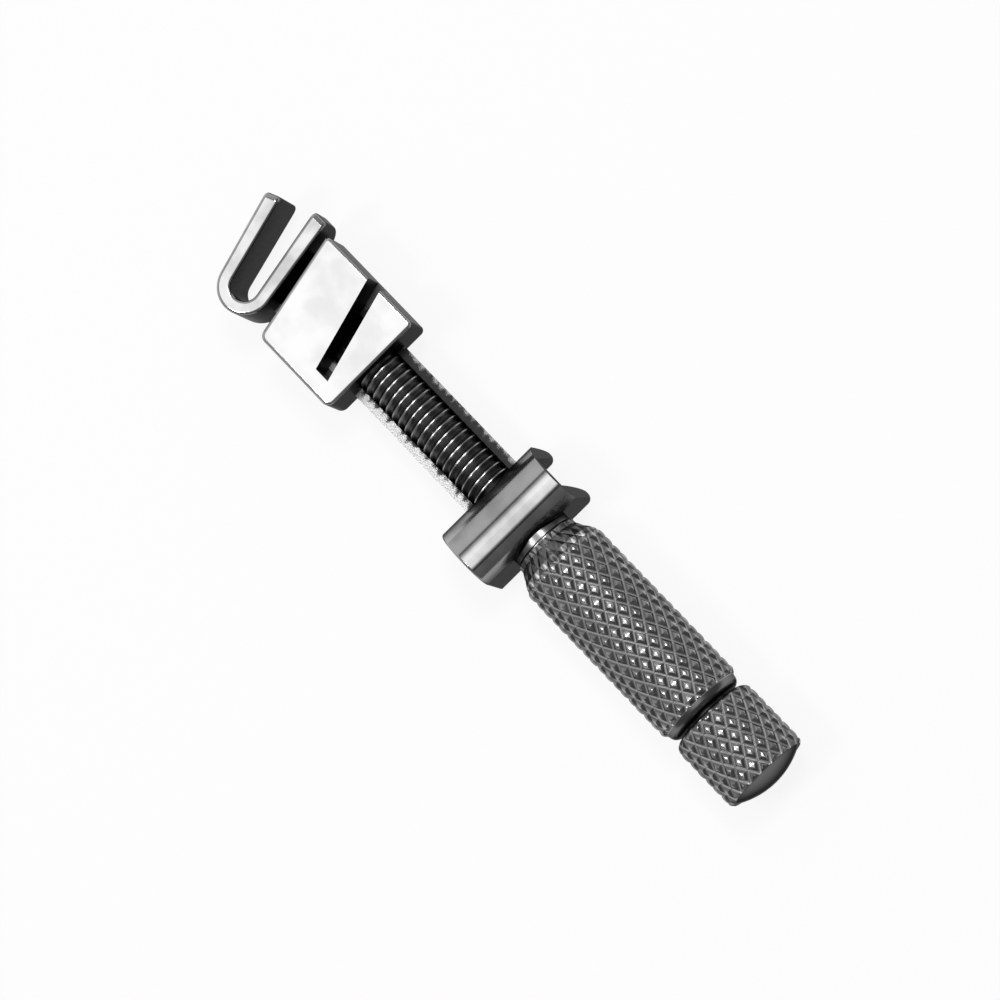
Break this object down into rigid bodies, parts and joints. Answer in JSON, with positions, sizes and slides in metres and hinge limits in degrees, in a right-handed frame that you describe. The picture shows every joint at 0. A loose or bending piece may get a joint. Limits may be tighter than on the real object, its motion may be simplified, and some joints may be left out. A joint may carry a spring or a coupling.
{
  "type": "matrix band retainer",
  "caption": "Dental matrix band retainer: U-shaped head, vise with a diagonal slot on a rail, yoke, long and short knurled knobs.",
  "frame": {"origin": "half way along the tool, on the surface that it lies on, straight below the spindle's axis", "axes": "+X along the spindle from the head to the knobs, +Y to the open side of the head and the vise, +Z from the back to the face"},
  "size_m": [0.0661, 0.0116, 0.0083],
  "materials": {
    "polished_steel": "stainless steel, ground and mirror polished",
    "polished_steel_vise": "stainless steel, mirror polished, with faint handling marks on its face",
    "threaded_steel": "stainless steel, turned and threaded",
    "knurled_steel": "stainless steel, diamond knurled and bead polished",
    "knurled_steel_short": "stainless steel, diamond knurled and bead polished"
  },
  "bodies": {
    "frame": {"frame": "polished_steel"},
    "vise": {"vise": "polished_steel_vise"},
    "spindle": {"spindle": "threaded_steel"},
    "adjusting_knob": {"adjusting_knob": "knurled_steel"},
    "locking_knob": {"locking_knob": "knurled_steel_short"}
  },
  "joints": [
    {"name": "vise_slide", "type": "slide", "parent": "frame", "child": "vise", "axis": [1, 0, 0], "range_m": [0, 0.0134]},
    {"name": "adjusting_knob_turn", "type": "hinge", "parent": "frame", "child": "adjusting_knob", "pos_m": [0.01507, 0, 0.00413], "axis": [1, 0, 0], "range_deg": [-6080, 0]},
    {"name": "spindle_slide", "type": "slide", "parent": "vise", "child": "spindle", "axis": [1, 0, 0], "range_m": [0, 0.0015]},
    {"name": "locking_knob_turn", "type": "hinge", "parent": "spindle", "child": "locking_knob", "pos_m": [0.02898, 0, 0.00413], "axis": [1, 0, 0], "range_deg": [0, 682]}
  ],
  "couplings": [
    {"joint": "adjusting_knob_turn", "follows": "vise_slide", "rad_per_m": -7913.3},
    {"joint": "locking_knob_turn", "follows": "spindle_slide", "rad_per_m": 7913.3}
  ]
}
